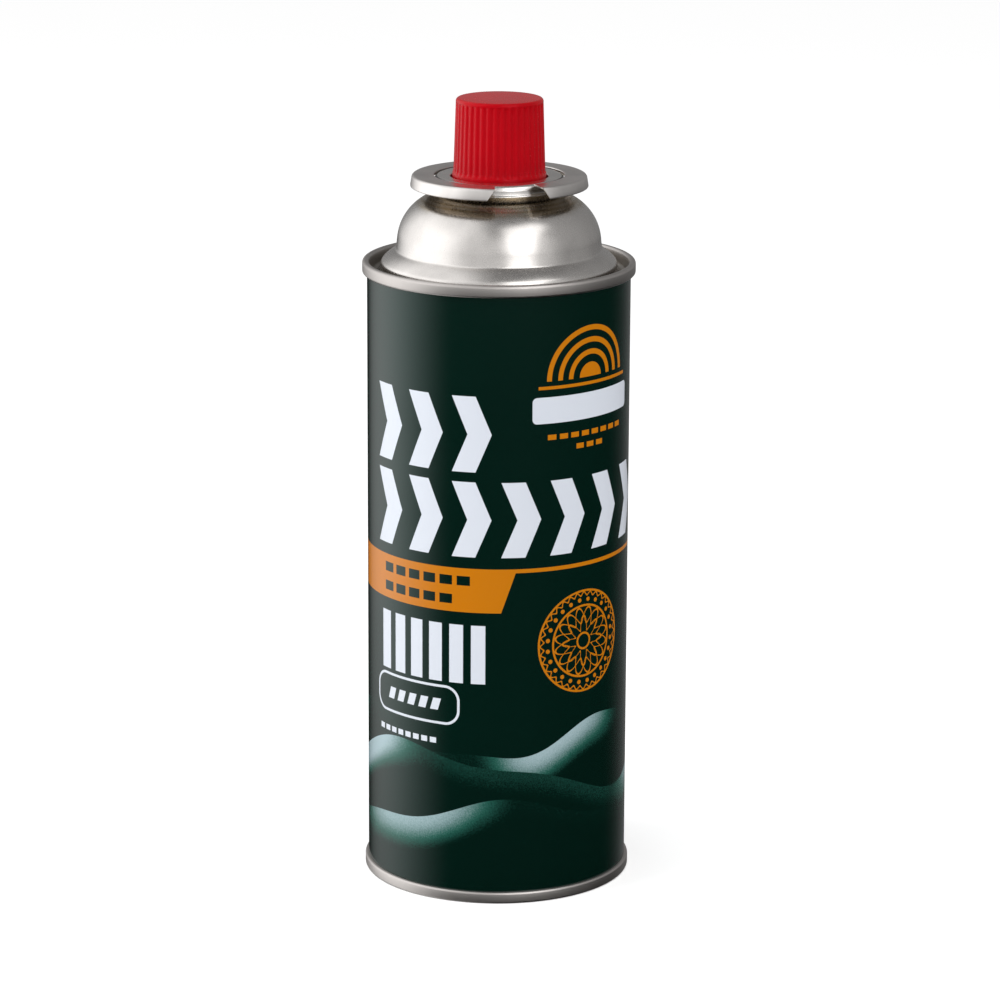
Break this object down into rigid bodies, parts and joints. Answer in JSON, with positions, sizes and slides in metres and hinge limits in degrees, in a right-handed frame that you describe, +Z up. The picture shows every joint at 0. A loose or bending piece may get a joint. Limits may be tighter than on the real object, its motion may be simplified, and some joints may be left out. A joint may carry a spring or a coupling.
{
  "type": "fuel canister",
  "caption": "Slim cylindrical gas cartridge with rolled seams, a stepped dome, a notched locating collar, a spring valve and a fluted pull-off cap.",
  "frame": {"origin": "centre of the foot ring, on the surface that the can stands on", "axes": "+Z up along the can's axis, -Y through the middle of the collar's notch"},
  "size_m": [0.068, 0.068, 0.1982],
  "materials": {
    "lacquered_can": "gloss lacquer with printed fields, bare tinplate ends",
    "tinplate": "satin tinplate",
    "seal_rubber": "matte",
    "valve_plastic": "natural moulded",
    "spring_steel": "drawn wire",
    "cap_plastic": "satin moulded, finely pitted"
  },
  "bodies": {
    "can_body": {"can": "lacquered_can", "cup_gasket": "seal_rubber", "valve_cup": "tinplate", "locating_collar": "tinplate", "valve_housing": "valve_plastic", "stem_gasket": "seal_rubber", "valve_spring": "spring_steel"},
    "stem_body": {"valve_stem": "valve_plastic"},
    "cap_body": {"cap": "cap_plastic"}
  },
  "joints": [
    {"name": "stem_press", "type": "slide", "parent": "can_body", "child": "stem_body", "axis": [0, 0, -1], "range_m": [0, 0.0015], "stiffness_N_per_m": 1500, "springref_m": -0.006, "deforming": ["valve_spring"]},
    {"name": "cap_pull", "type": "slide", "parent": "can_body", "child": "cap_body", "axis": [0, 0, 1], "range_m": [0, 0.03]}
  ]
}
